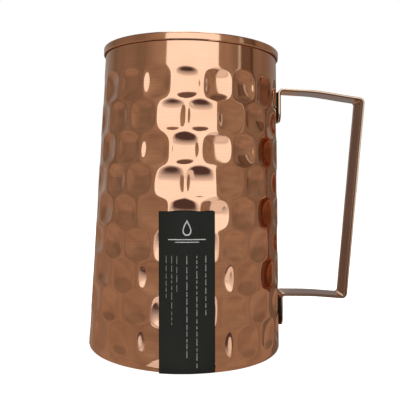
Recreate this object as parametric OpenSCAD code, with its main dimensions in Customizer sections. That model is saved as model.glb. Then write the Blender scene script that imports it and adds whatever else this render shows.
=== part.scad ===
// Tall copper jug: a tapered wall of sheet copper with a separate bottom and a folded rim strip,
// a flat strap handle riveted on over black sealing pads, and a paper label band.
// Millimetres, +Z up. The origin is the centre of the resting face, and the handle points along +X.

/* [Vessel] */
// Height from the resting face to the top of the rim
jug_h = 175.2; // [160:1:190]
// Outer radius that the wall's taper reaches at the resting face
foot_r = 57.25; // [55:0.25:60]
// Outer radius that the wall's taper reaches at the top of the rim
mouth_r = 50.25; // [48:0.25:53]
// Thickness of the wall's copper sheet
sheet_t = 1.0; // [0.8:0.1:1.2]
// Outside radius of the bend between the wall and its foot flange
foot_bend_r = 2.5; // [2:0.25:4]
// Radius of the opening inside the foot flange
flange_r = 51.5; // [48:0.5:52]

/* [Bottom] */
// Thickness of the bottom's copper sheet
base_t = 1.2; // [1:0.1:1.6]
// Width of the lap that lies on the foot flange
base_lap = 2.4; // [1.5:0.1:2.6]
// Soldering gap between the bottom and the edge of the foot flange
solder_gap = 0.2; // [0.1:0.05:0.4]

/* [Rim strip] */
// Outer radius of the rim strip
rim_r = 51.6; // [51:0.1:53]
// Height of the rim strip's outer leg
rim_h = 4.2; // [3:0.1:6]
// Height of the rim strip's inner leg
rim_inner_h = 3.4; // [2:0.1:5]
// Thickness of the rim strip
rim_t = 0.7; // [0.5:0.05:0.8]
// Radius of the two folds on top of the rim
rim_fold_r = 0.9; // [0.4:0.1:1.2]

/* [Handle] */
// Width of the handle strap
strap_w = 17.3; // [14:0.1:20]
// Thickness of the handle strap
strap_t = 1.5; // [1.2:0.1:2]
// Reach of the grip's upper corner from the jug's axis, to the middle of the strap
grip_top_x = 103.4; // [95:0.1:108]
// Reach of the grip's lower corner from the jug's axis, to the middle of the strap
grip_bottom_x = 96.4; // [90:0.1:104]
// Height of the upper arm at the wall, to the middle of the strap
arm_top_z = 154.4; // [145:0.1:156]
// Drop of the upper arm from the wall to the grip
arm_top_drop = 4.2; // [0:0.1:8]
// Height of the lower arm at the wall, to the middle of the strap
arm_bottom_z = 32.1; // [28:0.1:40]
// Drop of the lower arm from the wall to the grip
arm_bottom_drop = 1.1; // [0:0.1:3]
// Length of each tab, from its arm's middle to its end
tab_len = 19; // [17:0.5:24]
// Radius of the tabs' lower corners
tab_corner_r = 5; // [2:0.5:8]
// Middle radius of the bend between an arm and its tab
tab_bend_r = 2.2; // [1.5:0.1:4]
// Middle radius of the bends at the ends of the grip
grip_bend_r = 2.4; // [1.5:0.1:6]

/* [Pads and rivets] */
// Thickness of a sealing pad along its middle
pad_t = 0.6; // [0.4:0.1:1]
// Distance of a pad's upper edge below the middle of its arm
pad_top_gap = 2; // [1.5:0.1:3]
// Distance of a pad's lower edge above the end of its tab
pad_end_gap = 0.5; // [0:0.1:1.5]
// Radius of a rivet's shank
shank_r = 2; // [1.5:0.1:2.5]
// Radius of a rivet's outer head
head_r = 3.6; // [3:0.1:4.5]
// Height of a rivet's outer head
head_h = 1.1; // [0.6:0.1:1.4]
// Distance between the two rivets of a tab
rivet_pitch = 8.6; // [8:0.1:10]
// Distance of a tab's lower rivet from the tab's end
rivet_end_gap = 4.8; // [4:0.1:6]
// Radius of a rove
rove_r = 4.2; // [3.5:0.1:4.3]
// Thickness of a rove along its middle
rove_t = 0.8; // [0.5:0.1:1.2]
// Radius of a rivet's peened end
peen_r = 2.9; // [2.6:0.1:3.4]
// Height of a rivet's peened end
peen_h = 0.9; // [0.5:0.1:1.2]

/* [Label] */
// Width of the label band
label_w = 28.8; // [20:0.1:40]
// Height of the label's upper edge
label_top_z = 83.5; // [60:0.5:110]
// Height of the label's lower edge, beside the foot bend
label_bottom_z = 0.5; // [0.4:0.1:4]
// Thickness of the paper
label_t = 0.2; // [0.15:0.05:0.4]
// Distance of the label's middle from the jug's front line, towards the handle
label_x = -1; // [-10:0.05:10]
// Slant of the label, its lower end towards the handle
label_slant = 1.4; // [-5:0.1:5]

/* [Hidden] */

$fn = 96;
vessel_fn = 360;
copper = [0.76, 0.47, 0.34];
bright_copper = [0.84, 0.55, 0.40];
black_rubber = [0.06, 0.06, 0.06];
black_paper = [0.12, 0.14, 0.12];

taper = atan((foot_r - mouth_r) / jug_h);
wall_top_z = jug_h - rim_t;
overshoot = 5;

// Radius of the wall's outer surface at height z, before any inset.
function wall_r(z) = foot_r - (foot_r - mouth_r) * z / jug_h;

// Middle line of the handle strap, from the upper tab's end to the lower tab's end.
// Each point is [distance from the axis, height, bend radius].
function tab_x(z) = wall_r(z) + (pad_t + strap_t / 2) / cos(taper);
arm_bend_r = 150;
upper_end_z = arm_top_z - tab_len;
lower_end_z = arm_bottom_z - tab_len;
grip_top_z = arm_top_z - arm_top_drop;
grip_bottom_z = arm_bottom_z - arm_bottom_drop;
strap_path = [
    [tab_x(upper_end_z), upper_end_z, 0],
    [tab_x(arm_top_z), arm_top_z, tab_bend_r],
    [(tab_x(arm_top_z) + grip_top_x) / 2 - 4, arm_top_z - arm_top_drop * 0.12, arm_bend_r],
    [grip_top_x, grip_top_z, grip_bend_r],
    [grip_bottom_x, grip_bottom_z, grip_bend_r],
    [(tab_x(arm_bottom_z) + grip_bottom_x) / 2, arm_bottom_z, arm_bend_r],
    [tab_x(arm_bottom_z), arm_bottom_z, tab_bend_r],
    [tab_x(lower_end_z), lower_end_z, 0]
];

// Points of the bend at corner i of path p, on the line that runs the distance side to the path's left.
function flat(p) = [p[0], p[1]];
function unit(v) = v / norm(v);
function left_of(v) = [-v[1], v[0]];
bend_steps = 8;
function bend(p, i, side) =
    let (before = unit(flat(p[i]) - flat(p[i - 1])))
    let (after = unit(flat(p[i + 1]) - flat(p[i])))
    let (turn = atan2(left_of(before) * after, before * after))
    let (way = turn > 0 ? 1 : -1)
    let (start = flat(p[i]) - before * p[i][2] * tan(abs(turn) / 2))
    let (centre = start + left_of(before) * p[i][2] * way)
    let (first = atan2(-before[0] * way, before[1] * way))
    let (radius = p[i][2] - side * way)
    [for (k = [0 : bend_steps])
        let (a = first + turn * k / bend_steps)
        centre + radius * [cos(a), sin(a)]];

// End points of the path, and the whole line beside it.
function path_end(p, i, j, side) = flat(p[i]) + left_of(unit(flat(p[j]) - flat(p[i]))) * side;
function beside(p, side) =
    let (last = len(p) - 1)
    [
        path_end(p, 0, 1, side),
        for (i = [1 : last - 1]) each bend(p, i, side),
        path_end(p, last, last - 1, -side)
    ];
function reversed(v) = [for (i = [len(v) - 1 : -1 : 0]) v[i]];

// Half profile of everything inside the vessel's outer surface, inset by a sheet thickness.
module vessel_profile(inset) {
    bend_x = wall_r(foot_bend_r) - foot_bend_r / cos(taper);
    bend_in = foot_bend_r - inset;
    shift = inset / cos(taper);
    translate([bend_x, foot_bend_r]) circle(r = bend_in);
    polygon([
        [0, inset],
        [bend_x, inset],
        [bend_x + bend_in * cos(taper), foot_bend_r + bend_in * sin(taper)],
        [wall_r(jug_h) - shift, jug_h],
        [0, jug_h]
    ]);
}

module vessel_solid(inset) {
    rotate_extrude($fn = vessel_fn) intersection() {
        vessel_profile(inset);
        square([foot_r + overshoot, jug_h + overshoot]);
    }
}

// Puts a fastener's frame on the wall at height z: +X points out of the wall, square to it.
module on_wall(z) {
    translate([wall_r(z), 0, z]) rotate([0, -taper, 0]) children();
}

// Heights of the two rivets of the tab that ends at height end_z.
function rivet_heights(end_z) = [for (i = [0, 1]) end_z + rivet_end_gap + i * rivet_pitch];

module rivet_holes(end_z) {
    for (z = rivet_heights(end_z))
        on_wall(z) rotate([0, 90, 0]) cylinder(h = 4 * overshoot, r = shank_r, center = true);
}

module vessel_wall() {
    color(copper) difference() {
        rotate_extrude() difference() {
            intersection() {
                vessel_profile(0);
                square([foot_r + overshoot, wall_top_z]);
            }
            vessel_profile(sheet_t);
            square([flange_r, 2 * sheet_t]);
        }
        rivet_holes(upper_end_z);
        rivet_holes(lower_end_z);
    }
}

// A flat bottom with its edge set up onto the foot flange.
module base_disc() {
    color(copper) rotate_extrude() {
        square([flange_r - solder_gap, base_t]);
        translate([flange_r - solder_gap - base_t, sheet_t]) square([base_lap + base_t, base_t]);
    }
}

// Round-cornered section of the folded strip, less the space that the wall's edge fills.
module rim_band() {
    lip_in = wall_r(wall_top_z) - sheet_t / cos(taper);
    inner_r = lip_in - rim_t;
    outer_w = rim_r - inner_r;
    color(copper) rotate_extrude() difference() {
        union() {
            for (x = [inner_r + rim_fold_r, rim_r - rim_fold_r])
                translate([x, jug_h - rim_fold_r]) circle(r = rim_fold_r);
            translate([inner_r + rim_fold_r, jug_h - rim_fold_r])
                square([outer_w - 2 * rim_fold_r, rim_fold_r]);
            translate([inner_r, jug_h - rim_inner_h])
                square([rim_t + sheet_t, rim_inner_h - rim_fold_r]);
            translate([rim_r - sheet_t - rim_t, jug_h - rim_h])
                square([sheet_t + rim_t, rim_h - rim_fold_r]);
        }
        polygon([
            [wall_r(jug_h - rim_h - overshoot), jug_h - rim_h - overshoot],
            [wall_r(wall_top_z), wall_top_z],
            [lip_in, wall_top_z],
            [wall_r(jug_h - rim_h - overshoot) - sheet_t / cos(taper), jug_h - rim_h - overshoot]
        ]);
    }
}

// Cuts the two lower corners of a tab to a radius.
module tab_corners(end_z) {
    corner = strap_w / 2 - tab_corner_r;
    for (side = [-1, 1])
        difference() {
            translate([mouth_r - overshoot, side > 0 ? corner : -strap_w, end_z - overshoot])
                cube([2 * overshoot + foot_r - mouth_r, strap_w - corner, overshoot + tab_corner_r]);
            translate([mouth_r - 2 * overshoot, side * corner, end_z + tab_corner_r])
                rotate([0, 90, 0])
                    cylinder(h = foot_r, r = tab_corner_r);
        }
}

module handle_strap() {
    outline = concat(beside(strap_path, strap_t / 2), reversed(beside(strap_path, -strap_t / 2)));
    color(bright_copper) difference() {
        rotate([90, 0, 0]) linear_extrude(height = strap_w, center = true) polygon(outline);
        tab_corners(upper_end_z);
        tab_corners(lower_end_z);
        rivet_holes(upper_end_z);
        rivet_holes(lower_end_z);
    }
}

// Fills the space between the flat tab and the round wall.
module pad(arm_z, end_z) {
    low = end_z + pad_end_gap;
    high = arm_z - pad_top_gap;
    reach = pad_t / cos(taper);
    color(black_rubber) difference() {
        rotate([90, 0, 0]) linear_extrude(height = strap_w, center = true) polygon([
            [wall_r(low) - overshoot, low],
            [wall_r(low) + reach, low],
            [wall_r(high) + reach, high],
            [wall_r(high) - overshoot, high]
        ]);
        vessel_solid(0);
        tab_corners(end_z);
        rivet_holes(end_z);
    }
}

module upper_pad() {
    pad(arm_top_z, upper_end_z);
}

module lower_pad() {
    pad(arm_bottom_z, lower_end_z);
}

// Half profile of a low dome that stands on the line y = 0.
module dome_profile(r, h) {
    ball_r = (r * r + h * h) / (2 * h);
    intersection() {
        translate([0, h - ball_r]) circle(r = ball_r);
        square([r + overshoot, h + overshoot]);
    }
}

module rivets(end_z) {
    outer_x = pad_t + strap_t;
    inner_x = -sheet_t - rove_t;
    color(bright_copper) for (z = rivet_heights(end_z))
        on_wall(z) rotate([0, 90, 0]) rotate_extrude() {
            translate([0, inner_x]) square([shank_r, outer_x - inner_x]);
            translate([0, outer_x]) dome_profile(head_r, head_h);
            translate([0, inner_x]) mirror([0, 1]) dome_profile(peen_r, peen_h);
        }
}

module upper_rivets() {
    rivets(upper_end_z);
}

module lower_rivets() {
    rivets(lower_end_z);
}

// Washers inside the wall, curved on the side that lies against it.
module roves(end_z) {
    color(bright_copper) intersection() {
        for (z = rivet_heights(end_z))
            on_wall(z) translate([-sheet_t - rove_t, 0, 0]) rotate([0, 90, 0]) difference() {
                cylinder(h = 2 * rove_t, r = rove_r);
                cylinder(h = 8 * rove_t, r = shank_r, center = true);
            }
        vessel_solid(sheet_t);
    }
}

module upper_roves() {
    roves(upper_end_z);
}

module lower_roves() {
    roves(lower_end_z);
}

// A paper band laid on the front of the wall, slanted a little. It hangs straight past the foot's bend.
module label() {
    middle_z = (label_top_z + label_bottom_z) / 2;
    thick = label_t / cos(taper);
    color(black_paper) intersection() {
        rotate_extrude($fn = vessel_fn) polygon([
            [wall_r(0), 0],
            [wall_r(0) + thick, 0],
            [wall_r(jug_h) + thick, jug_h],
            [wall_r(jug_h), jug_h]
        ]);
        translate([label_x, 0, middle_z]) rotate([0, -label_slant, 0])
            translate([-label_w / 2, -foot_r - overshoot, label_bottom_z - middle_z])
                cube([label_w, foot_r, label_top_z - label_bottom_z]);
    }
}

vessel_wall();
base_disc();
rim_band();
handle_strap();
upper_pad();
lower_pad();
upper_rivets();
lower_rivets();
upper_roves();
lower_roves();
label();
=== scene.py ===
"""Copper jug: the look of every piece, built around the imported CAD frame. +Z is up, the handle at +X."""

import math

import bpy
import numpy as np
from mathutils import Matrix, Vector


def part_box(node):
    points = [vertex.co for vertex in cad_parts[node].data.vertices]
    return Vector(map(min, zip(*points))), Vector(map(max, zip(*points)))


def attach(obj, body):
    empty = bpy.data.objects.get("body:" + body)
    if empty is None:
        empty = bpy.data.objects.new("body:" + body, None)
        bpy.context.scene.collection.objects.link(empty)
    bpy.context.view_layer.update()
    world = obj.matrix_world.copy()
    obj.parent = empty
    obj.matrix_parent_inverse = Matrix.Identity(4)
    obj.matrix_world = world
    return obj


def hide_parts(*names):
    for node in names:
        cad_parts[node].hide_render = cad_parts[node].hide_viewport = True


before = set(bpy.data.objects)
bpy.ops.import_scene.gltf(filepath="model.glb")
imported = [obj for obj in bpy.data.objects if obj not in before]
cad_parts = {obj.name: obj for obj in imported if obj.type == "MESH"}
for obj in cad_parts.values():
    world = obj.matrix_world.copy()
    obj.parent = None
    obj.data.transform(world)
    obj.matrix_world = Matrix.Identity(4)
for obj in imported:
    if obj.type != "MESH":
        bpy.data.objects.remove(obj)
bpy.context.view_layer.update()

MM = 0.001

# ---------------------------------------------------------------- sizes, in millimetres, as in the CAD

rim_low, rim_high = (np.array(corner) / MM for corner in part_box("rim_band"))
strap_low, strap_high = (np.array(corner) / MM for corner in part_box("handle_strap"))
wall_high = np.array(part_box("vessel_wall")[1]) / MM

# The jug's axis is the Z axis, and the wall tapers evenly from the foot's bend to the mouth.
SHEET_T = 1.0
FOOT_BEND_R = 2.5
FLANGE_R = 51.5
MOUTH_R = 50.25
JUG_H = rim_high[2]
WALL_TOP = wall_high[2]
TAPER_Z = FOOT_BEND_R * 1.04  # where the foot's bend ends
SLOPE = (wall_high[1] - MOUTH_R) / (JUG_H - TAPER_Z)
FOOT_R = MOUTH_R + SLOPE * JUG_H
TAPER = math.atan(SLOPE)

RIM_R = rim_high[0]
RIM_H = rim_high[2] - rim_low[2]
RIM_INNER_H = 3.4
RIM_T = 0.7
RIM_FOLD_R = 0.9
RIM_EDGE_R = 0.12

STRAP_W = strap_high[1] - strap_low[1]
STRAP_T = 1.5
PAD_T = 0.6
ARM_TOP_Z = strap_high[2] - STRAP_T / 2
ARM_BOTTOM_Z = 32.1
TAB_LEN = ARM_BOTTOM_Z - strap_low[2]
GRIP_TOP = (strap_high[0] - STRAP_T / 2, ARM_TOP_Z - 4.2)
GRIP_BOTTOM = (96.4, ARM_BOTTOM_Z - 1.1)
TAB_CORNER_R = 5.0
TAB_BEND_R = 2.2
GRIP_BEND_R = 2.4
ARM_BEND_R = 150.0
STRAP_EDGE_R = 0.4

RIVET_END_GAP = 4.8
RIVET_PITCH = 8.6
HEAD_R, HEAD_H = 3.6, 1.1
SHANK_R = 2.0
ROVE_T = 0.8
PEEN_R, PEEN_H = 2.9, 0.9

# The label is a slanted band on the front, and its print stands a little proud.
LABEL_W = 28.8
LABEL_X = -1.0
LABEL_SLANT = math.radians(1.4)
LABEL_TOP = 83.5
LABEL_BOTTOM = 0.5
PRINT_T = 0.02

PHASES = 6.28  # random phases lie between 0 and this
rng = np.random.default_rng(7)


def wall_r(z):
    """Radius of the wall's outer surface at height z, at the level of the ridges."""
    return FOOT_R - SLOPE * z


# ---------------------------------------------------------------- mesh helpers


def make_object(name, points, faces, material, replaced=()):
    """A smooth-shaded piece of the object, from points in millimetres."""
    mesh = bpy.data.meshes.new(name)
    mesh.from_pydata([tuple(p) for p in np.asarray(points) * MM], [], faces)
    mesh.validate()
    mesh.shade_smooth()
    mesh.materials.append(material)
    piece = bpy.data.objects.new(name, mesh)
    bpy.context.scene.collection.objects.link(piece)
    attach(piece, "root")
    if replaced:
        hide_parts(*replaced)
    return piece


def grid_faces(rows, cols, wrap_rows, wrap_cols, first=0, flip=False):
    """Quads over a grid of points, closed on itself in either direction."""
    faces = []
    for i in range(rows if wrap_rows else rows - 1):
        for j in range(cols if wrap_cols else cols - 1):
            a = first + i * cols + j
            b = first + i * cols + (j + 1) % cols
            c = first + (i + 1) % rows * cols + (j + 1) % cols
            d = first + (i + 1) % rows * cols + j
            faces.append((d, c, b, a) if flip else (a, b, c, d))
    return faces


def slab(front, back, first=0):
    """Points and faces of a closed slab between two grids of the same shape."""
    rows, cols = front.shape[:2]
    points = np.concatenate([front.reshape(-1, 3), back.reshape(-1, 3)])
    other = first + rows * cols
    faces = grid_faces(rows, cols, False, False, first)
    faces += grid_faces(rows, cols, False, False, other, flip=True)
    edge = list(range(cols))
    edge += [i * cols + cols - 1 for i in range(1, rows)]
    edge += [(rows - 1) * cols + j for j in range(cols - 2, -1, -1)]
    edge += [i * cols for i in range(rows - 2, 0, -1)]
    for k, a in enumerate(edge):
        b = edge[(k + 1) % len(edge)]
        faces.append((first + b, first + a, other + a, other + b))
    return points, faces


def arc(centre, radius, start, end, steps):
    """Points of an arc in a plane; angles in degrees."""
    angles = np.radians(np.linspace(start, end, steps + 1))
    return [(centre[0] + radius * math.cos(a), centre[1] + radius * math.sin(a)) for a in angles]


def lathe(profile, segments, wobble=None):
    """Points and faces of a closed profile of (radius, height), turned round the Z axis."""
    profile = np.array(profile)
    angles = np.linspace(0, 2 * math.pi, segments, endpoint=False)
    radius = np.repeat(profile[:, 0][:, None], segments, axis=1)
    height = np.repeat(profile[:, 1][:, None], segments, axis=1)
    if wobble is not None:
        radius, height = wobble(radius, height, angles)
    points = np.stack([radius * np.cos(angles), radius * np.sin(angles), height], axis=-1)
    return points.reshape(-1, 3), grid_faces(len(profile), segments, True, True)


# ---------------------------------------------------------------- material helpers


class Shader:
    """A material with one Principled shader and short calls for the nodes that drive it."""

    def __init__(self, name, **values):
        self.material = bpy.data.materials.new(name)
        self.material.use_nodes = True
        self.tree = self.material.node_tree
        self.principled = self.tree.nodes["Principled BSDF"]
        for socket, value in values.items():
            self.principled.inputs[socket.replace("_", " ")].default_value = value

    def node(self, kind, **settings):
        """A new node with the given settings."""
        made = self.tree.nodes.new(kind)
        for key, value in settings.items():
            setattr(made, key, value)
        return made

    def link(self, output, socket):
        """Join an output to an input."""
        self.tree.links.new(output, socket)

    def noise(self, size, detail=3.0, shift=0.0):
        """Noise between 0 and 1 whose features are about size millimetres across in X, Y and Z."""
        place = self.node("ShaderNodeTexCoord")
        mapping = self.node("ShaderNodeMapping")
        mapping.inputs["Location"].default_value = (shift, shift, shift)
        mapping.inputs["Scale"].default_value = tuple(1 / (s * MM) for s in size)
        texture = self.node("ShaderNodeTexNoise")
        texture.inputs["Scale"].default_value = 1.0
        texture.inputs["Detail"].default_value = detail
        self.link(place.outputs["Object"], mapping.inputs["Vector"])
        self.link(mapping.outputs["Vector"], texture.inputs["Vector"])
        return texture.outputs["Fac"]

    def attribute(self, name):
        """A number that the mesh holds at each of its points."""
        return self.node("ShaderNodeAttribute", attribute_name=name).outputs["Fac"]

    def spread(self, value, low, high, start=0.3, end=0.7):
        """value, with start to end spread over low to high."""
        made = self.node("ShaderNodeMapRange")
        made.inputs["From Min"].default_value = start
        made.inputs["From Max"].default_value = end
        made.inputs["To Min"].default_value = low
        made.inputs["To Max"].default_value = high
        self.link(value, made.inputs["Value"])
        return made.outputs["Result"]

    def maths(self, operation, a, b):
        """The result of an operation on two numbers or outputs."""
        made = self.node("ShaderNodeMath", operation=operation)
        for socket, value in zip(made.inputs, (a, b)):
            if isinstance(value, (int, float)):
                socket.default_value = value
            else:
                self.link(value, socket)
        return made.outputs["Value"]

    def mix(self, factor, a, b):
        """Colour a where factor is 0 and b where it is 1; each is a colour or a socket."""
        made = self.node("ShaderNodeMix", data_type="RGBA")
        self.link(factor, made.inputs["Factor"])
        for socket, value in ((made.inputs["A"], a), (made.inputs["B"], b)):
            if isinstance(value, tuple):
                socket.default_value = (*value, 1.0)
            else:
                self.link(value, socket)
        return made.outputs["Result"]

    def bump(self, height, distance, strength=1.0):
        """A bump of the given depth in millimetres, laid over any earlier one."""
        made = self.node("ShaderNodeBump")
        made.inputs["Strength"].default_value = strength
        made.inputs["Distance"].default_value = distance * MM
        self.link(height, made.inputs["Height"])
        normal = self.principled.inputs["Normal"]
        if normal.is_linked:
            self.link(normal.links[0].from_socket, made.inputs["Normal"])
        self.link(made.outputs["Normal"], normal)

    def drive(self, socket, value):
        """Feed the Principled shader's input from an output."""
        self.link(value, self.principled.inputs[socket])


COPPER = (0.955, 0.60, 0.41)
TARNISHED = (0.88, 0.53, 0.34)
# Colour of a painted reflection: the dark red of the copper mirrored in itself, in a few dimples beside the
# handle.
HOLLOW_PAINTED_REFLECTION = (0.50, 0.16, 0.06)
SEAM_SHADOW_COLOUR = (0.16, 0.09, 0.06)
STRAP_COPPER = (0.82, 0.52, 0.36)
STRAP_TARNISHED = (0.70, 0.44, 0.31)
# Painted highlight colour for the outer half of the strap's side edges.
PAINTED_EDGE_HIGHLIGHT = (0.87, 0.70, 0.51)


def copper(name, grain, roughness=0.065, bump=0.004, clean=COPPER, stained=TARNISHED, painted_edges=False,
           hollow_reflection_colour=None):
    """Polished copper with fine brushing; grain is the size of its streaks in X, Y and Z.

    For a strap, the colour has a painted highlight where the mesh's edge attribute is above 0 and painted
    shade where it is below 0. Where the mesh holds a share of painted reflection, the colour turns to the
    dark one given."""
    shader = Shader(name, Metallic=1.0)
    stain = shader.spread(shader.noise((26, 26, 20), 4.0), 0.0, 1.0, 0.42, 0.72)
    streak = shader.noise(grain, 4.0, shift=3.1)
    colour = shader.mix(stain, clean, stained)
    faded = tuple(c * 0.9 for c in clean)
    colour = shader.mix(shader.spread(streak, 0.0, 0.8, 0.42, 0.62), colour, faded)
    if painted_edges:
        # Painted light on the strap's edges: painted shade below 0 and a painted highlight above 0.
        painted_edge_light = shader.attribute("painted_edge_light")
        painted_edge_shade = tuple(c * 0.2 for c in clean)
        colour = shader.mix(shader.spread(painted_edge_light, 0.0, 1.0, 0.0, -0.3), colour, painted_edge_shade)
        colour = shader.mix(shader.spread(painted_edge_light, 0.0, 1.0, 0.3, 0.6), colour, PAINTED_EDGE_HIGHLIGHT)
    # Painted reflection in the hollows that the mesh marks.
    if hollow_reflection_colour:
        colour = shader.mix(shader.attribute("painted_reflection"), colour, hollow_reflection_colour)
    shader.drive("Base Color", colour)
    smudge = shader.spread(shader.noise((14, 14, 18), 5.0, shift=7.7), 0.0, 0.05, 0.45, 0.75)
    fine = shader.spread(streak, roughness * 0.8, roughness * 1.2)
    shader.drive("Roughness", shader.maths("ADD", fine, smudge))
    shader.bump(streak, bump)
    return shader.material


def rubber():
    """Black rubber with a fine moulded grain."""
    shader = Shader("black_rubber", Specular_IOR_Level=0.15)
    speck = shader.noise((0.5, 0.5, 0.5), 2.0)
    shader.drive("Base Color", shader.mix(speck, (0.003, 0.003, 0.003), (0.009, 0.008, 0.008)))
    shader.drive("Roughness", shader.spread(speck, 0.5, 0.75))
    shader.bump(speck, 0.05)
    return shader.material


def paper(name, dark, light):
    """Satin paper with faint fibres and creases."""
    shader = Shader(name, Specular_IOR_Level=0.25)
    fibre = shader.noise((0.3, 0.3, 0.9), 3.0)
    crease = shader.noise((9, 9, 16), 3.0, shift=5.0)
    shader.drive("Base Color", shader.mix(fibre, dark, light))
    shader.drive("Roughness", shader.spread(crease, 0.42, 0.62))
    shader.bump(fibre, 0.02)
    shader.bump(crease, 0.25)
    return shader.material


# ---------------------------------------------------------------- the hammered wall

# Rows count from the top and dimples in a row from the front towards the handle. Odd rows are staggered.
DIMPLE_ROWS = 9
DIMPLES_ROUND = 19
TOP_ROW_Z = 149.3
ROW_PITCH = 16.8
FIRST_DIMPLE = math.radians(-90 - 3.4)
FRONT_CROWDING = 0.032
CROWDING_RATE = 2.2
DIMPLE_HALF_W = 7.7
DIMPLE_HALF_H = 8.4
TOP_DEPTH = 1.85
BOTTOM_DEPTH = 1.15
HANDLE_SIDE_DEPTH = 1.9
HANDLE_SIDE = math.radians(40)
UPPER_ROWS = 5
UPPER_LEAN = -0.035
LOWER_LEAN = 0.02
PLACE_SPREAD, SIZE_SPREAD, DEPTH_SPREAD, TILT_SPREAD = 0.3, 0.02, 0.06, 0.012

# Single dimples, by row and place in the row: factors of depth, slopes to the right and upwards, and shares
# of painted reflection, a dark red patch that stands for the copper mirrored in itself.
DEPTH_FACTORS = {
    (0, 18): 0.80, (2, 18): 0.76, (4, 18): 0.62,
    (1, 17): 0.70, (3, 17): 0.80,
    (1, 1): 0.72, (3, 1): 0.70, (5, 1): 0.80,
    (1, 18): 0.85, (3, 18): 0.85,
    (2, 0): 1.2, (4, 0): 1.25,
    (0, 2): 1.35, (2, 2): 1.2,
}
LEANS = {(1, 18): 0.06, (3, 18): 0.06, (6, 1): 0.07, (8, 1): 0.05}
NODS = {(2, 0): -0.05, (3, 0): -0.03, (3, 18): -0.04, (4, 0): -0.05}
PAINTED_REFLECTION_DIMPLES = {(0, 3): 0.7, (2, 3): 1.0, (4, 3): 1.0, (6, 3): 1.0}

# A dimple is a scoop with a flat middle and square corners, and its edge is rounded into the next.
SQUARENESS = 0.45
FLATNESS = (0.3, 0.15)
EDGE_ROUNDING = 0.4
WALL_COLUMNS = DIMPLES_ROUND * 25
INNER_ROWS = 26
RIDGE_STEP, DIMPLE_STEP = 0.85, 1.4
LIP_EDGE = 0.15


def soft_max(a, b, rounding):
    """The larger of two arrays, rounded where they meet."""
    return np.maximum(a, b) + np.maximum(rounding - np.abs(a - b), 0) ** 2 / (4 * rounding)


def hammering(angles, heights):
    """Depth of the dimples below the ridges and the share of painted reflection in them, over a grid of
    angles and heights.
    """
    depth = np.zeros((len(heights), len(angles)))
    painted_reflection = np.zeros((len(heights), len(angles)))
    for row in range(DIMPLE_ROWS):
        row_z = TOP_ROW_Z - row * ROW_PITCH
        for column in range(DIMPLES_ROUND):
            centre = FIRST_DIMPLE + 2 * math.pi * (column + row % 2 / 2) / DIMPLES_ROUND
            from_front = (centre + 1.5 * math.pi) % (2 * math.pi) - math.pi
            crowded = math.pi / CROWDING_RATE
            if -crowded < from_front < (crowded if row < UPPER_ROWS else 0):
                centre -= FRONT_CROWDING * math.sin(CROWDING_RATE * from_front)
            across_shift, up_shift = rng.normal(0, PLACE_SPREAD, 2)
            half_w = DIMPLE_HALF_W * rng.normal(1, SIZE_SPREAD)
            half_h = DIMPLE_HALF_H * rng.normal(1, SIZE_SPREAD)
            deep = TOP_DEPTH + (BOTTOM_DEPTH - TOP_DEPTH) * row / (DIMPLE_ROWS - 1)
            to_handle = abs((centre + math.pi) % (2 * math.pi) - math.pi)
            if to_handle < HANDLE_SIDE:
                deep = HANDLE_SIDE_DEPTH
            deep *= rng.normal(1, DEPTH_SPREAD) * DEPTH_FACTORS.get((row, column), 1.0)
            lean, nod = rng.normal(0, TILT_SPREAD, 2)
            lean += (UPPER_LEAN if row < UPPER_ROWS else LOWER_LEAN) + LEANS.get((row, column), 0.0)
            nod += NODS.get((row, column), 0.0)
            turn = (angles - centre + math.pi) % (2 * math.pi) - math.pi
            near = np.abs(turn) < 1.6 * math.pi / DIMPLES_ROUND
            rows = np.abs(heights - row_z) < 1.3 * ROW_PITCH
            across = (turn[near] * wall_r(row_z) - across_shift)[None, :]
            up = (heights[rows] - row_z - up_shift)[:, None]
            u, v = across / half_w, up / half_h
            sideways = u ** 2 + FLATNESS[0] * (u ** 4 - u ** 2)
            upright = v ** 2 + FLATNESS[1] * (v ** 4 - v ** 2)
            corner = np.minimum(sideways, 1) * np.minimum(upright, 1)
            fall = sideways + upright - SQUARENESS * corner
            scoop = deep * (1 - fall) + lean * across + nod * up
            patch = np.ix_(rows, near)
            depth[patch] = soft_max(depth[patch], scoop, EDGE_ROUNDING)
            # Painted reflection: a dark red patch in a few dimples beside the handle, in place of the
            # copper mirrored in itself.
            dark = PAINTED_REFLECTION_DIMPLES.get((row, column), 0.0) * np.clip((1 - fall) * 5 - 0.2, 0, 1)
            painted_reflection[patch] = np.maximum(painted_reflection[patch], dark)
    return depth, painted_reflection


def beyond_pads(angles, heights):
    """0 where the wall is flat under the handle's pads and 1 beyond them, over the same grid."""
    beyond = np.ones((len(heights), len(angles)))
    for top in (ARM_TOP_Z, ARM_BOTTOM_Z):
        aside = np.clip((np.abs(angles) * MOUTH_R - STRAP_W / 2 - 0.5) / 3.5, 0, 1)
        clear = np.clip((np.abs(heights - top + TAB_LEN / 2) - TAB_LEN / 2 - 0.5) / 3.5, 0, 1)
        beyond = np.minimum(beyond, np.maximum(aside[None, :], clear[:, None]))
    return beyond ** 2 * (3 - 2 * beyond)


def outer_heights():
    """Heights of the outer surface's rows, closer together along the ridges between dimple rows."""
    heights = [TAPER_Z]
    while heights[-1] < WALL_TOP - 0.2:
        from_ridge = (TOP_ROW_Z - heights[-1]) % ROW_PITCH / ROW_PITCH
        near_ridge = abs(from_ridge - 0.5) < 0.22
        heights.append(heights[-1] + (RIDGE_STEP if near_ridge else DIMPLE_STEP))
    heights[-1] = WALL_TOP - LIP_EDGE
    return np.array(heights)


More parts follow.
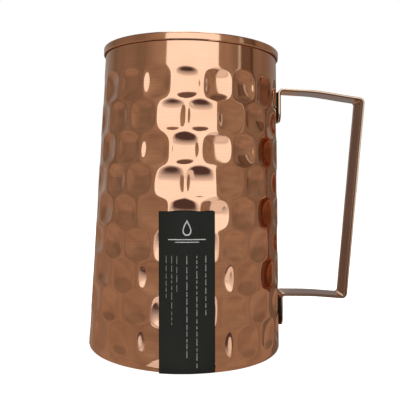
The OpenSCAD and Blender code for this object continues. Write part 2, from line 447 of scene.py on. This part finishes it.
def vessel_wall():
    """The tapered wall of hammered sheet, with its foot turned inwards."""
    angles = np.linspace(-math.pi, math.pi, WALL_COLUMNS, endpoint=False)
    up = outer_heights()
    bend_x = wall_r(FOOT_BEND_R) - FOOT_BEND_R / math.cos(TAPER)
    inner_bend = FOOT_BEND_R - SHEET_T

    depth, painted_reflection = hammering(angles, up)
    depth *= beyond_pads(angles, up)
    outer = wall_r(up)[:, None] - depth
    down = np.linspace(WALL_TOP - LIP_EDGE, TAPER_Z, INNER_ROWS)
    nearest = np.array([np.interp(down, up, outer[:, j]) for j in range(WALL_COLUMNS)]).T
    inner = nearest - SHEET_T / math.cos(TAPER)

    foot = [(FLANGE_R, LIP_EDGE), (FLANGE_R + LIP_EDGE, 0.0)]
    foot += arc((bend_x, FOOT_BEND_R), FOOT_BEND_R - 0.02, -90, math.degrees(TAPER) - 12, 7)
    heel = arc((bend_x, FOOT_BEND_R), inner_bend, math.degrees(TAPER), -90, 5)[1:]
    heel += [(FLANGE_R + LIP_EDGE, SHEET_T), (FLANGE_R, SHEET_T - LIP_EDGE)]

    def rings(points):
        """Even rings at each radius and height."""
        return [(np.full(WALL_COLUMNS, r), z) for r, z in points]

    rows = rings(foot)
    rows += [(outer[i], z) for i, z in enumerate(up)]
    rows += [(outer[-1] - LIP_EDGE, WALL_TOP), (inner[0] + LIP_EDGE, WALL_TOP)]
    rows += [(inner[i], z) for i, z in enumerate(down)]
    rows += rings(heel)
    points = np.array([np.stack([r * np.cos(angles), r * np.sin(angles), np.full(WALL_COLUMNS, z)], -1)
                       for r, z in rows])
    faces = grid_faces(len(rows), WALL_COLUMNS, True, True)
    metal = copper("hammered_copper", grain=(40, 40, 0.35), hollow_reflection_colour=HOLLOW_PAINTED_REFLECTION)
    wall = make_object("hammered_wall", points.reshape(-1, 3), faces, metal,
                       ["vessel_wall"])
    # The share of painted reflection in each dimple, kept at the wall's points.
    shade = np.zeros((len(rows), WALL_COLUMNS))
    shade[len(foot):len(foot) + len(up)] = painted_reflection
    wall.data.attributes.new("painted_reflection", "FLOAT", "POINT").data.foreach_set("value", shade.ravel())


# ---------------------------------------------------------------- the rim, the bottom and the pads


def rim_band():
    """The folded strip on the lip, a little uneven as hand-closed strips are."""
    lip_in = wall_r(WALL_TOP) - SHEET_T / math.cos(TAPER)
    inner_r = lip_in - RIM_T
    low, inner_low, top = JUG_H - RIM_H, JUG_H - RIM_INNER_H, JUG_H
    edge = RIM_EDGE_R
    gap = 0.35
    profile = [(wall_r(low) + 0.01, low + 1.2), (wall_r(low) + gap, low + 1.0), (wall_r(low) + gap, low)]
    profile += [(RIM_R - edge, low), (RIM_R, low + edge)]
    profile += [(RIM_R, low + step) for step in (1.0, 2.0)]
    profile += arc((RIM_R - RIM_FOLD_R, top - RIM_FOLD_R), RIM_FOLD_R, 0, 90, 8)
    profile += arc((inner_r + RIM_FOLD_R, top - RIM_FOLD_R), RIM_FOLD_R, 90, 180, 8)
    profile += [(inner_r, inner_low + edge), (inner_r + edge, inner_low), (lip_in - 0.05, inner_low)]
    profile += [(lip_in - 0.05, WALL_TOP + 0.02), (wall_r(WALL_TOP) + 0.05, WALL_TOP + 0.02)]
    waves = [(n, rng.uniform(0, 2 * math.pi), rng.normal(0, 0.02)) for n in (2, 3, 5, 8, 13, 21)]

    def wobble(radius, height, angles):
        wave = sum(size * np.sin(n * angles + phase) for n, phase, size in waves)
        lower = height < JUG_H - RIM_H + 0.5
        inset = np.where(radius > RIM_R - 0.2, np.abs(wave) * 0.6, 0.0)
        return radius - inset, height + np.where(lower, np.abs(wave) * 1.6, 0.0)

    # A dark ring in the gap under the strip's lower edge: painted shadow that stands for the shade in that
    # gap.
    wall = wall_r(low)
    seam = [(wall - 0.02, low - 0.12), (wall + 0.5, low - 0.05)]
    seam += [(wall + 0.5, low + 0.6), (wall - 0.02, low + 0.6)]
    points, faces = lathe(seam, 360)
    dark = copper("seam_painted_shadow", grain=(9, 9, 9), roughness=0.55, clean=SEAM_SHADOW_COLOUR, stained=SEAM_SHADOW_COLOUR)
    make_object("rim_seam", points, faces, dark)

    points, faces = lathe(profile, 360, wobble)
    metal = copper("rim_copper", grain=(30, 30, 0.3), roughness=0.1)
    return make_object("rim_strip", points, faces, metal, ["rim_band"])


def carried_over():
    """Better materials for the CAD nodes whose shapes are right."""
    disc = copper("base_copper", grain=(1.1, 40, 40), roughness=0.2, bump=0.006)
    rove = copper("rove_copper", grain=(2, 2, 2), roughness=0.16)
    black = rubber()
    finishes = {
        "base_disc": disc,
        "upper_pad": black,
        "lower_pad": black,
        "upper_roves": rove,
        "lower_roves": rove,
    }
    for node, material in finishes.items():
        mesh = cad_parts[node].data
        mesh.materials.clear()
        mesh.materials.append(material)


# ---------------------------------------------------------------- the handle


def tab_x(z):
    """Distance of a tab's middle plane from the jug's axis, at height z."""
    return wall_r(z) + (PAD_T + STRAP_T / 2) / math.cos(TAPER)


def strap_line():
    """Middle line of the strap with round bends, as (x, z) points, from the upper tab's end."""
    upper_end, lower_end = ARM_TOP_Z - TAB_LEN, ARM_BOTTOM_Z - TAB_LEN
    corners = [
        ((tab_x(upper_end), upper_end), 0),
        ((tab_x(ARM_TOP_Z), ARM_TOP_Z), TAB_BEND_R),
        (((tab_x(ARM_TOP_Z) + GRIP_TOP[0]) / 2 - 4, ARM_TOP_Z - 0.5), ARM_BEND_R),
        (GRIP_TOP, GRIP_BEND_R),
        (GRIP_BOTTOM, GRIP_BEND_R),
        (((tab_x(ARM_BOTTOM_Z) + GRIP_BOTTOM[0]) / 2, ARM_BOTTOM_Z), ARM_BEND_R),
        ((tab_x(ARM_BOTTOM_Z), ARM_BOTTOM_Z), TAB_BEND_R),
        ((tab_x(lower_end), lower_end), 0),
    ]
    line = [np.array(corners[0][0])]
    for before, here, after in zip(corners, corners[1:], corners[2:]):
        spot, radius = np.array(here[0]), here[1]
        way_in = spot - np.array(before[0])
        way_out = np.array(after[0]) - spot
        way_in /= np.linalg.norm(way_in)
        way_out /= np.linalg.norm(way_out)
        cross = way_in[0] * way_out[1] - way_in[1] * way_out[0]
        turn = math.atan2(cross, way_in @ way_out)
        start = spot - way_in * radius * math.tan(abs(turn) / 2)
        side = np.array([-way_in[1], way_in[0]]) * math.copysign(radius, turn)
        centre = start + side
        for step in np.linspace(0, turn, 13):
            cos, sin = math.cos(step), math.sin(step)
            line.append(centre + np.array([[cos, -sin], [sin, cos]]) @ -side)
    line.append(np.array(corners[-1][0]))
    return np.array(line)


def evenly(line, spacing):
    """The line's points with others between them, none further apart than the spacing."""
    made = [line[0]]
    for a, b in zip(line, line[1:]):
        steps = max(1, math.ceil(np.linalg.norm(b - a) / spacing))
        made += [a + (b - a) * k / steps for k in range(1, steps + 1)]
    return np.array(made)


def handle_strap():
    """The flat strap, with soft edges and round tab corners."""
    line = evenly(strap_line(), 1.6)
    fine_ends = np.array([0.02, 0.1, 0.3, 0.7, 1.3, 2.1, 3.1, 4.2])
    first = (line[1] - line[0]) / np.linalg.norm(line[1] - line[0])
    last = (line[-2] - line[-1]) / np.linalg.norm(line[-2] - line[-1])
    run = np.concatenate([[0], np.cumsum(np.linalg.norm(np.diff(line, axis=0), axis=1))])
    keep = (run > 5) & (run < run[-1] - 5)
    line = np.concatenate([
        [line[0] + first * d for d in fine_ends], line[keep], [line[-1] + last * d for d in fine_ends[::-1]]
    ])
    along = np.gradient(line, axis=0)
    along /= np.linalg.norm(along, axis=1)[:, None]
    beside = np.stack([-along[:, 1], along[:, 0]], axis=1)
    run = np.concatenate([[0], np.cumsum(np.linalg.norm(np.diff(line, axis=0), axis=1))]) + fine_ends[0]
    to_end = np.minimum(run, run[-1] + fine_ends[0] - run)
    short = np.maximum(TAB_CORNER_R - to_end, 0)
    half_w = STRAP_W / 2 - TAB_CORNER_R + np.sqrt(np.maximum(TAB_CORNER_R ** 2 - short ** 2, 0))
    edge = STRAP_EDGE_R
    half_t = STRAP_T / 2
    section = []
    for cx, cy, start in ((1, 1, 0), (-1, 1, 90), (-1, -1, 180), (1, -1, 270)):
        section += [(cx, cy, x, y) for x, y in arc((0, 0), edge, start, start + 90, 4)]
        if cx * cy > 0:
            section += [(cx * k, cy, 0, edge * cy) for k in (0.5, 0.0, -0.5)]
    waves = [(length, rng.uniform(0, PHASES), rng.normal(0, 0.02)) for length in (9, 14, 23, 37)]
    points = []
    for spot, side, half, s in zip(line, beside, half_w, run):
        wave = sum(size * math.sin(s / length * PHASES + phase) for length, phase, size in waves)
        for cx, cy, dx, dy in section:
            y = cx * (half - edge) + dx
            offset = cy * (half_t - edge) + dy + wave
            spot3 = spot + side * offset
            points.append((spot3[0], y, spot3[1]))
    count = len(section)
    rows = len(line)
    faces = grid_faces(rows, count, False, True)
    faces.append(tuple(range(count))[::-1])
    faces.append(tuple((rows - 1) * count + j for j in range(count)))
    metal = copper("handle_copper", grain=(22, 0.3, 22), roughness=0.15, bump=0.005, clean=STRAP_COPPER,
                   stained=STRAP_TARNISHED, painted_edges=True)
    strap = make_object("strap_handle", points, faces, metal, ["handle_strap"])
    # +1 gives a painted highlight on the outer half of each side edge, -1 painted shade on the inner half,
    # 0 the flat faces.
    painted_edge_light = [cy * min(1, 2 * abs(dx) / edge) for _, cy, dx, _ in section] * rows
    strap.data.attributes.new("painted_edge_light", "FLOAT", "POINT").data.foreach_set("value", painted_edge_light)


def on_wall(z):
    """Frame of a fastener at height z: its X axis points out of the wall, square to it."""
    return Matrix.Translation((wall_r(z), 0, z)) @ Matrix.Rotation(-TAPER, 4, "Y")


def dome_points(radius, height, steps):
    """Half outline of a low dome, from its edge to its middle, as (radius, height)."""
    ball = (radius ** 2 + height ** 2) / (2 * height)
    widths = radius * np.cos(np.linspace(0, math.pi / 2, steps + 1))
    return [(w, math.sqrt(ball ** 2 - w ** 2) - ball + height) for w in widths]


def rivets(name, node, tab_end, metal):
    """Two rivets, peened a little out of round, in one piece."""
    segments = 40
    outer_x, inner_x = PAD_T + STRAP_T, -SHEET_T - ROVE_T
    profile = [(r, outer_x + h) for r, h in dome_points(HEAD_R, HEAD_H, 10)][::-1]
    profile += [(HEAD_R - 0.05, outer_x - 0.02), (SHANK_R, outer_x - 0.04), (SHANK_R, inner_x + 0.04)]
    profile += [(PEEN_R - 0.05, inner_x + 0.02)]
    profile += [(r, inner_x - h) for r, h in dome_points(PEEN_R, PEEN_H, 8)]
    points, faces = [], []
    for z in (tab_end + RIVET_END_GAP, tab_end + RIVET_END_GAP + RIVET_PITCH):
        first = len(points)
        place = on_wall(z)
        flats = [(rng.uniform(0, PHASES), rng.uniform(0.3, 0.8), rng.uniform(0.02, 0.05)) for _ in range(7)]
        points.append(place @ Vector((profile[0][1], 0, 0)))
        for r, x in profile[1:-1]:
            for k in range(segments):
                a = 2 * math.pi * k / segments
                y, h = r * math.cos(a), r * math.sin(a)
                dent = sum(
                    depth * math.exp(-((y / HEAD_R - reach * math.cos(way)) ** 2
                                       + (h / HEAD_R - reach * math.sin(way)) ** 2) / 0.06)
                    for way, reach, depth in flats
                )
                shift = -dent if x > outer_x else dent if x < inner_x else 0
                points.append(place @ Vector((x + shift, y, h)))
        points.append(place @ Vector((profile[-1][1], 0, 0)))
        rings = len(profile) - 2
        faces += grid_faces(rings, segments, False, True, first + 1)
        last = first + 1 + rings * segments
        for k in range(segments):
            after = (k + 1) % segments
            faces.append((first, first + 1 + after, first + 1 + k))
            ring = last - segments
            faces.append((ring + k, ring + after, last))
    return make_object(name, points, faces, metal, [node])


# ---------------------------------------------------------------- the label


def label_point(across, t, lift):
    """A point across millimetres right of the label's middle line, t up from its lower end."""
    z = LABEL_BOTTOM + t * math.cos(TAPER)
    out = wall_r(z) + lift / math.cos(TAPER)
    slant = (z - (LABEL_TOP + LABEL_BOTTOM) / 2) * math.tan(LABEL_SLANT)
    x = (LABEL_X + across / math.cos(LABEL_SLANT) - slant) * out / wall_r(z)
    return x, -math.sqrt(out ** 2 - x ** 2), z + across * math.sin(LABEL_SLANT)


def crumple(across, t):
    """Lift of the paper where it doesn't lie flat, in millimetres."""
    crease = math.sin(across * 0.43 + t * 0.11) * math.sin(t * 0.21 - across * 0.17 + 1.3)
    return 0.13 + 0.035 * crease


def label():
    """The band of paper, a little crumpled, with its print."""
    length = (LABEL_TOP - LABEL_BOTTOM) / math.cos(TAPER)
    across = np.linspace(-LABEL_W / 2, LABEL_W / 2, 49)
    ups = np.linspace(0, length, 116)
    front = np.array([[label_point(a, t, crumple(a, t)) for a in across] for t in ups])
    back = np.array([[label_point(a, t, 0.01) for a in across] for t in ups])
    points, faces = slab(front, back)
    black = paper("black_paper", (0.0065, 0.0085, 0.0065), (0.012, 0.014, 0.011))
    make_object("label_paper", points, faces, black, ["label"])
    label_print(length)


def label_print(length):
    """Plain marks in place of the print: a drop, a double rule and dashed lines."""
    points, faces = [], []

    def add(outline_rows):
        """A strip of print from rows of (across, down from the top edge) pairs."""
        grid = np.array([[label_point(a, length - d, crumple(a, length - d) + PRINT_T) for a, d in row]
                         for row in outline_rows])
        back = np.array([[label_point(a, length - d, crumple(a, length - d) + 0.002) for a, d in row]
                         for row in outline_rows])
        new_points, new_faces = slab(grid, back, len(points))
        points.extend(new_points)
        faces.extend(new_faces)

    def bar(left, top, width, height):
        """An upright or level bar; top is its distance down from the label's top edge."""
        downs = np.linspace(top + height, top, max(2, math.ceil(height / 1.5) + 1))
        acrosses = np.linspace(left, left + width, max(2, math.ceil(width / 1.5) + 1))
        add([[(a, d) for a in acrosses] for d in downs])

    def drop(across, down, half_w, height, stroke):
        """The outline of a drop, its point upwards."""
        turns = np.linspace(0, 2 * math.pi, 49)
        rows = []
        for inset in (0.0, stroke):
            w, h = half_w - inset, height / 2 - inset * 1.25
            rows.append([(across + w * math.sin(a) * math.sin(a / 2) ** 1.3,
                          down + inset * 0.35 - h * math.cos(a)) for a in turns])
        add(rows[::-1])

    drop(0.0, 8.4, 3.1, 8.2, 0.8)
    bar(-9.6, 14.2, 19.2, 0.5)
    bar(-6.2, 15.6, 12.4, 0.4)
    bright = paper("label_emblem", (0.40, 0.41, 0.40), (0.60, 0.61, 0.60))
    make_object("label_emblem", points, faces, bright)
    points.clear()
    faces.clear()
    # Each line of dashes: its place across the label, how far down it ends, and its width.
    lines = [(9.6, 54.0, 0.5), (5.0, 80.0, 0.5), (-0.1, 77.0, 0.5), (-5.2, 41.5, 0.3), (-7.8, 58.0, 0.3),
             (-10.6, 44.0, 0.3)]
    for across, end, height in lines:
        down = 22.7
        while down < end - 1.5:
            word = min(rng.uniform(1.2, 4.5), end - down)
            bar(across - height / 2, down, height, word)
            down += word + rng.uniform(0.6, 1.4)
    white = paper("label_print", (0.10, 0.11, 0.10), (0.34, 0.35, 0.33))
    make_object("label_print", points, faces, white)


# ---------------------------------------------------------------- the studio

ROOM_SIDE = (0.212, 0.150, 0.113)
ROOM_FRONT = (0.330, 0.235, 0.172)
ROOM_BACK = (0.30, 0.280, 0.270)
ROOM_HIGH = (0.150, 0.105, 0.085)
ROOM_TABLE = (0.300, 0.204, 0.150)
CAMERA_SHADE = (0.085, 0.055, 0.055)
SHEEN_COLOUR = (1.0, 0.93, 0.90)
FLOOR_GLOW = 0.95
FLOOR_REACH = 6.0
BACKDROP_R = 8.0
NEAR_PANEL = 0.5  # panels nearer than this are only reflected, and neither light nor shade the scene

# Each panel: name, azimuth in degrees, low and high edge, distance, half its width as an angle, colour,
# strength, and a fade where it has one.
PANELS = (
    ("front_softbox", 0, 0.0, 0.98, 1.05, 33, (1.0, 0.99, 0.985), 1.15),
    ("table_far", 0, -1.4, 0.08, 0.99, 33.5, CAMERA_SHADE, 1.0, (-0.22, 0.08, (0.95, 0.9, 0.89))),
    ("side_strip", 56.8, 0.165, 0.28, 0.246, 1.7, (1.0, 0.98, 0.92), 0.54),
    ("side_dark", 65.5, 0.17, 0.275, 0.24, 6.5, (0.15, 0.095, 0.068), 1.0),
    ("side_darker", 75, 0.17, 0.275, 0.24, 2.8, (0.10, 0.062, 0.040), 1.0),
    ("grip_shade", 185.6, -0.3, 0.5, 0.378, 8.5, (0.125, 0.088, 0.075), 1.0),
    ("arm_shade", 151.8, -0.3, 0.5, 0.431, 8, (0.225, 0.215, 0.22), 1.0),
    ("limb_shade", 131, -0.3, 0.21, 0.44, 13, (0.165, 0.112, 0.082), 1.0),
    ("back_softbox", 180, 0.35, 1.30, 1.05, 9, (1.0, 0.985, 0.95), 1.0),
)

# Each lit part of the table: name, rows of distance, first and last azimuth, and strength.
TABLE_SHEEN = (
    ("table_left", [(0.09, -18, -26), (0.14, -18, -28), (0.22, -18, -29)], 0.85),
    ("table_middle", [(0.068, -26, 12), (0.11, -24, 12)], 0.75),
    ("table_right",
     [(0.09, 16, 23), (0.14, 17, 25), (0.25, 18, 28), (0.45, 19, 31), (0.98, 19, 32)], 0.85),
)


def emission(name, colour, strength, fade=None):
    """A glowing material. A fade is a low height, a high height and the colour above it, in metres."""
    material = bpy.data.materials.new(name)
    material.use_nodes = True
    tree = material.node_tree
    tree.nodes.remove(tree.nodes["Principled BSDF"])
    glow = tree.nodes.new("ShaderNodeEmission")
    glow.inputs["Color"].default_value = (*colour, 1.0)
    glow.inputs["Strength"].default_value = strength
    if fade:
        low, high, upper = fade
        place = tree.nodes.new("ShaderNodeNewGeometry")
        split = tree.nodes.new("ShaderNodeSeparateXYZ")
        ramp = tree.nodes.new("ShaderNodeMapRange")
        mixer = tree.nodes.new("ShaderNodeMix")
        mixer.data_type = "RGBA"
        ramp.inputs["From Min"].default_value = low
        ramp.inputs["From Max"].default_value = high
        mixer.inputs["A"].default_value = (*colour, 1.0)
        mixer.inputs["B"].default_value = (*upper, 1.0)
        tree.links.new(place.outputs["Position"], split.inputs["Vector"])
        tree.links.new(split.outputs["Z"], ramp.inputs["Value"])
        tree.links.new(ramp.outputs["Result"], mixer.inputs["Factor"])
        tree.links.new(mixer.outputs["Result"], glow.inputs["Color"])
    tree.links.new(glow.outputs["Emission"], tree.nodes["Material Output"].inputs["Surface"])
    return material


def sheet(name, corners, material):
    """A flat piece of the studio that the camera doesn't see, from its corners in metres."""
    mesh = bpy.data.meshes.new(name)
    mesh.from_pydata(corners, [], [tuple(range(len(corners)))])
    mesh.materials.append(material)
    made = bpy.data.objects.new(name, mesh)
    bpy.context.scene.collection.objects.link(made)
    made.visible_camera = False
    return made


def panel(name, azimuth, low, high, distance, half_angle, colour, strength, fade=None):
    """An upright panel that faces the jug. Azimuth 0 is in front, at -Y, and 90 is at +X."""
    way = Vector((math.sin(math.radians(azimuth)), -math.cos(math.radians(azimuth)), 0))
    side = Vector((-way.y, way.x, 0)) * distance * math.tan(math.radians(half_angle))
    left, right = way * distance - side, way * distance + side
    corners = [(spot.x, spot.y, height)
               for spot, height in ((left, low), (right, low), (right, high), (left, high))]
    made = sheet(name, corners, emission(name, colour, strength, fade))
    if distance < NEAR_PANEL:
        made.visible_diffuse = made.visible_shadow = False


def room():
    """A dim warm room, a little uneven: lighter in front, grey behind and redder below."""
    world = bpy.data.worlds.new("room")
    world.use_nodes = True
    tree = world.node_tree
    place = tree.nodes.new("ShaderNodeTexCoord")
    split = tree.nodes.new("ShaderNodeSeparateXYZ")
    tree.links.new(place.outputs["Generated"], split.inputs["Vector"])

    def ramp(value, start, end, low=0.0, high=1.0):
        """low where the value is start, high where it is end, and smooth between them."""
        node = tree.nodes.new("ShaderNodeMapRange")
        node.interpolation_type = "SMOOTHSTEP"
        node.inputs["From Min"].default_value = start
        node.inputs["From Max"].default_value = end
        node.inputs["To Min"].default_value = low
        node.inputs["To Max"].default_value = high
        tree.links.new(value, node.inputs["Value"])
        return node.outputs["Result"]

    def blend(share, first, second):
        mixer = tree.nodes.new("ShaderNodeMix")
        mixer.data_type = "RGBA"
        tree.links.new(share, mixer.inputs["Factor"])
        for socket, colour in ((mixer.inputs["A"], first), (mixer.inputs["B"], second)):
            if isinstance(colour, tuple):
                socket.default_value = (*colour, 1.0)
            else:
                tree.links.new(colour, socket)
        return mixer.outputs["Result"]

    north, height = split.outputs["Y"], split.outputs["Z"]
    colour = blend(ramp(north, -0.25, -0.75), ROOM_SIDE, ROOM_FRONT)
    colour = blend(ramp(north, 0.40, 0.85), colour, ROOM_BACK)
    colour = blend(ramp(height, 0.60, 0.72), colour, ROOM_HIGH)
    colour = blend(ramp(height, 0.02, -0.10), colour, ROOM_TABLE)
    uneven = tree.nodes.new("ShaderNodeTexNoise")
    uneven.inputs["Scale"].default_value = 2.6
    uneven.inputs["Detail"].default_value = 2.0
    background = tree.nodes["Background"]
    tree.links.new(place.outputs["Generated"], uneven.inputs["Vector"])
    tree.links.new(ramp(uneven.outputs["Fac"], 0.3, 0.7, 0.84, 1.16), background.inputs["Strength"])
    tree.links.new(colour, background.inputs["Color"])
    return world


def table_sheen():
    """The lit parts of the table that the copper reflects, in front of the jug."""
    for name, rows, strength in TABLE_SHEEN:
        turns = [(reach, math.radians(angle)) for reach, angle, _ in rows]
        turns += [(reach, math.radians(angle)) for reach, _, angle in rows[::-1]]
        corners = [(reach * math.sin(a), -reach * math.cos(a), -0.0005) for reach, a in turns]
        made = sheet(name, corners, emission(name, SHEEN_COLOUR, strength))
        made.visible_diffuse = made.visible_shadow = False


def square(half, height):
    """Corners of a level square round the jug's axis."""
    return [(-half, half, height), (half, half, height), (half, -half, height), (-half, -half, height)]


def floor():
    """The pale floor. The copper reflects the room and the table's sheen in its place."""
    shader = Shader("pale_floor", Roughness=0.9, Specular_IOR_Level=0.0)
    shader.principled.inputs["Base Color"].default_value = (0.9, 0.9, 0.9, 1.0)
    shader.principled.inputs["Emission Color"].default_value = (1.0, 1.0, 1.0, 1.0)
    shader.principled.inputs["Emission Strength"].default_value = FLOOR_GLOW
    made = sheet("floor", square(FLOOR_REACH, 0)[::-1], shader.material)
    made.visible_camera = True
    made.visible_glossy = False


def backdrop():
    """A white surround behind everything, seen by the camera only."""
    bpy.ops.mesh.primitive_uv_sphere_add(segments=48, ring_count=24, radius=BACKDROP_R)
    made = bpy.context.object
    made.name = "backdrop"
    made.data.materials.append(emission("backdrop", (1.0, 1.0, 1.0), 1.0))
    made.visible_glossy = made.visible_diffuse = made.visible_shadow = False


def studio():
    """Soft light, the panels and the room that the copper reflects, and the pale surroundings."""
    scene = bpy.context.scene
    scene.view_settings.view_transform = "Standard"
    scene.world = room()
    for row in PANELS:
        panel(*row)
    table_sheen()
    sheet("top_softbox", square(0.45, 1.6), emission("top_softbox", (1.0, 0.99, 0.97), 3.0))
    floor()
    backdrop()


# ---------------------------------------------------------------- the camera

CAMERA_SPOT = (-10.9, -341.5, 99.6)
CAMERA_YAW = 0.0536
CAMERA_PITCH = 0.0354
CAMERA_ROLL = 0.0247
CAMERA_LENS = 50.8


def camera():
    """The photograph's viewpoint: nearly level with the middle of the jug, the handle on the right."""
    data = bpy.data.cameras.new("camera")
    data.lens = CAMERA_LENS
    made = bpy.data.objects.new("camera", data)
    bpy.context.scene.collection.objects.link(made)
    yaw, pitch = CAMERA_YAW, CAMERA_PITCH
    ahead = Vector((math.sin(yaw) * math.cos(pitch), math.cos(yaw) * math.cos(pitch), -math.sin(pitch)))
    right = ahead.cross(Vector((0, 0, 1))).normalized()
    up = right.cross(ahead)
    cos, sin = math.cos(CAMERA_ROLL), math.sin(CAMERA_ROLL)
    right, up = cos * right + sin * up, cos * up - sin * right
    turn = Matrix((right, up, -ahead)).transposed().to_4x4()
    made.matrix_world = Matrix.Translation(Vector(CAMERA_SPOT) * MM) @ turn
    bpy.context.scene.camera = made


camera()
vessel_wall()
rim_band()
carried_over()
handle_strap()
# The rivets take the frame's own plain copper of this name, and a brushed one only where it has none.
rivet_metal = bpy.data.materials.get("rivet_copper")
rivet_metal = rivet_metal or copper("rivet_copper", grain=(3, 3, 3), roughness=0.12)
rivets("upper_rivet_pair", "upper_rivets", ARM_TOP_Z - TAB_LEN, rivet_metal)
rivets("lower_rivet_pair", "lower_rivets", ARM_BOTTOM_Z - TAB_LEN, rivet_metal)
label()
studio()
